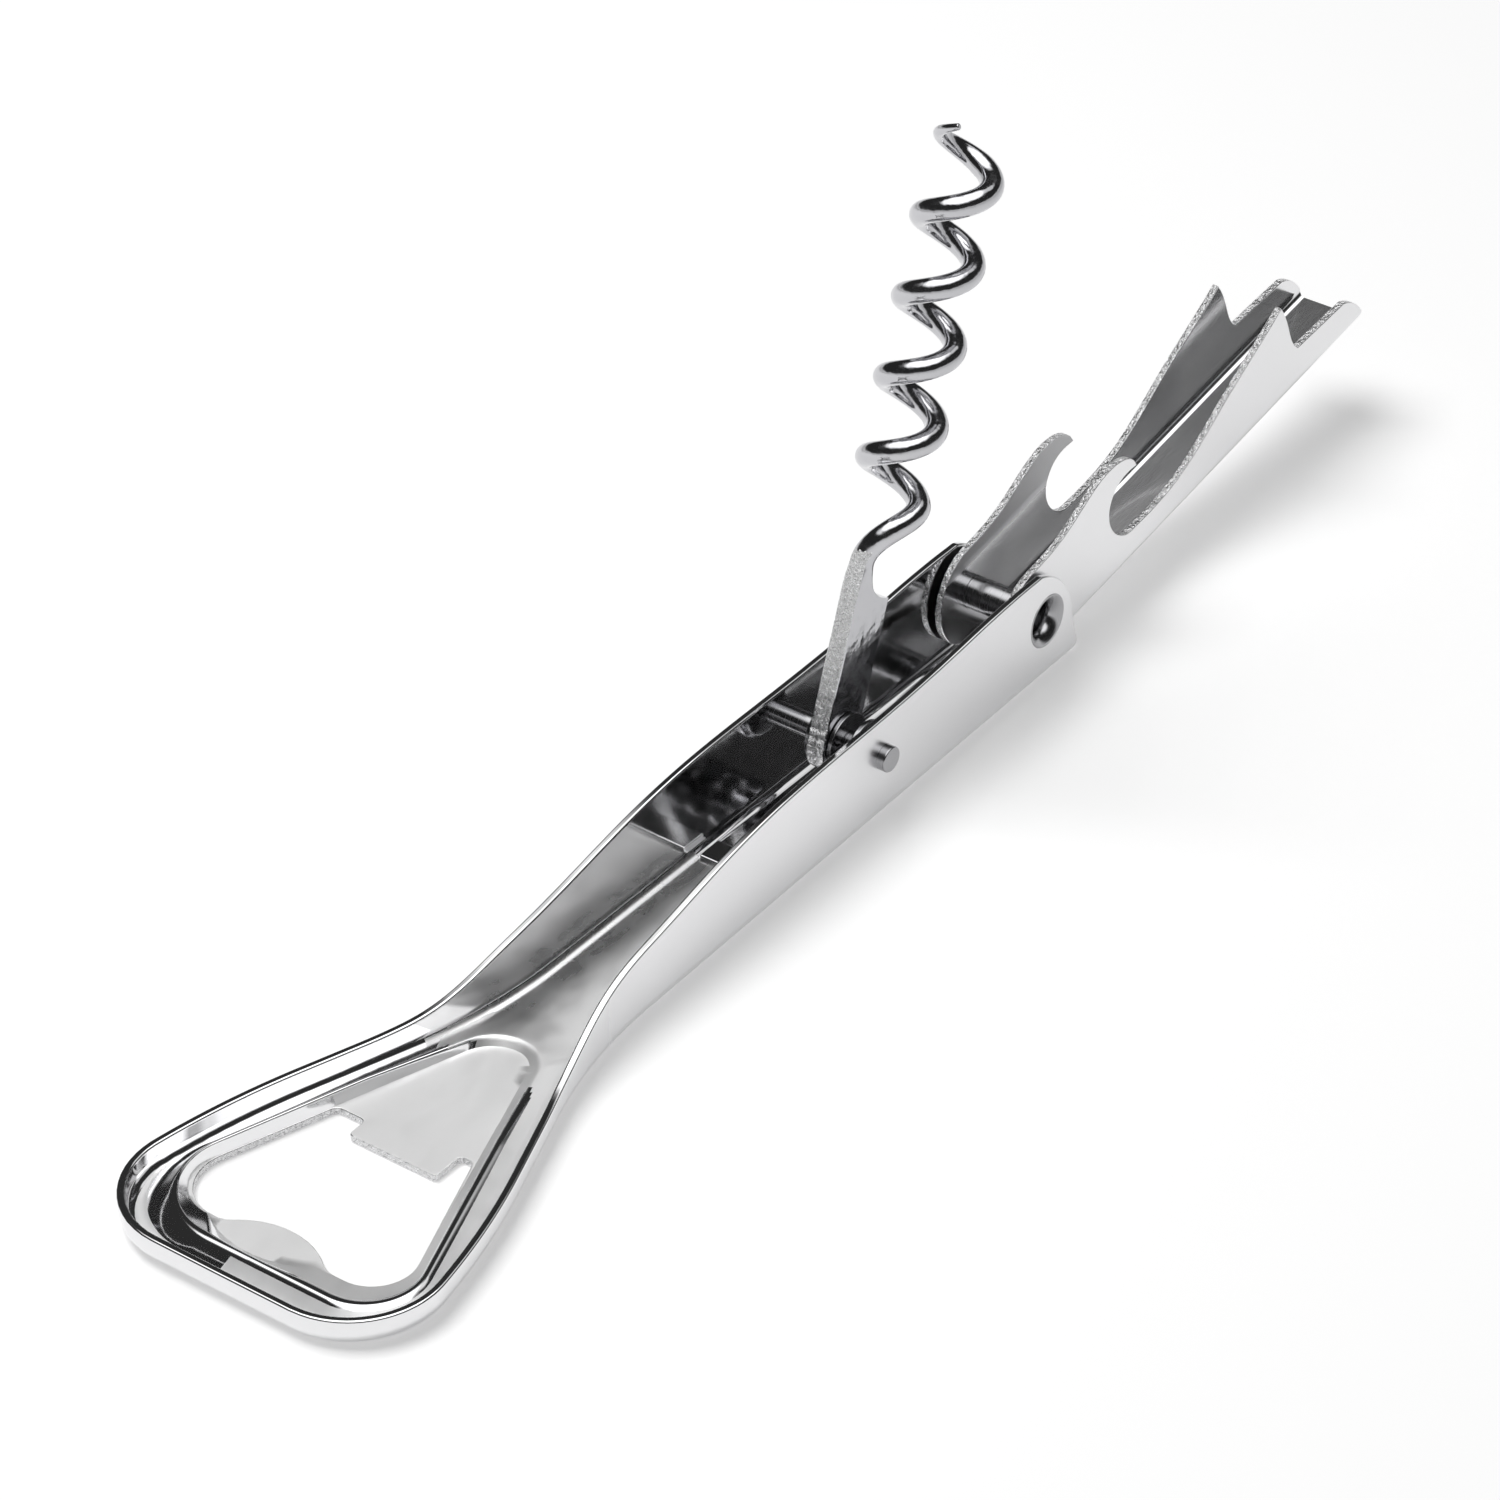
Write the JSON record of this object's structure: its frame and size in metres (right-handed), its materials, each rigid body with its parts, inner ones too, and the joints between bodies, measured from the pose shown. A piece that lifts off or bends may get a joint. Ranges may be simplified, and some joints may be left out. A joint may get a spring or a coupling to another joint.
{
  "type": "folding lever corkscrew",
  "caption": "Pocket corkscrew of stamped steel: a channel handle with a cap opener loop, a folding worm and a hinged two-claw boot lever.",
  "frame": {"origin": "on the handle's flat back, under the axis of the worm's pin", "axes": "+X along the handle to the hinge and the open lever, +Z out of the channel, Y across the sheet with the proud pin end at -Y"},
  "size_m": [0.1746, 0.033, 0.0639],
  "materials": {
    "handle_plate": "bright nickel plate",
    "lever_plate": "bright nickel plate",
    "worm_plate": "bright nickel plate",
    "pin_steel": "plated steel"
  },
  "bodies": {
    "handle": {"handle": "handle_plate", "worm_pin": "pin_steel", "hinge_rivet": "pin_steel", "shank_washer_near": "pin_steel", "shank_washer_far": "pin_steel", "wall_washer_near": "pin_steel"},
    "lever": {"lever": "lever_plate"},
    "worm": {"worm": "worm_plate"}
  },
  "joints": [
    {"name": "lever_pivot", "type": "hinge", "parent": "handle", "child": "lever", "pos_m": [0.0274, 0, 0.00696], "axis": [0, -1, 0], "range_deg": [0, 160]},
    {"name": "worm_pivot", "type": "hinge", "parent": "handle", "child": "worm", "pos_m": [0, 0, 0.00716], "axis": [0, -1, 0], "range_deg": [0, 111.8]}
  ],
  "couplings": [
    {"joint": "worm_pivot", "follows": "lever_pivot", "ratio": 0.69875}
  ]
}
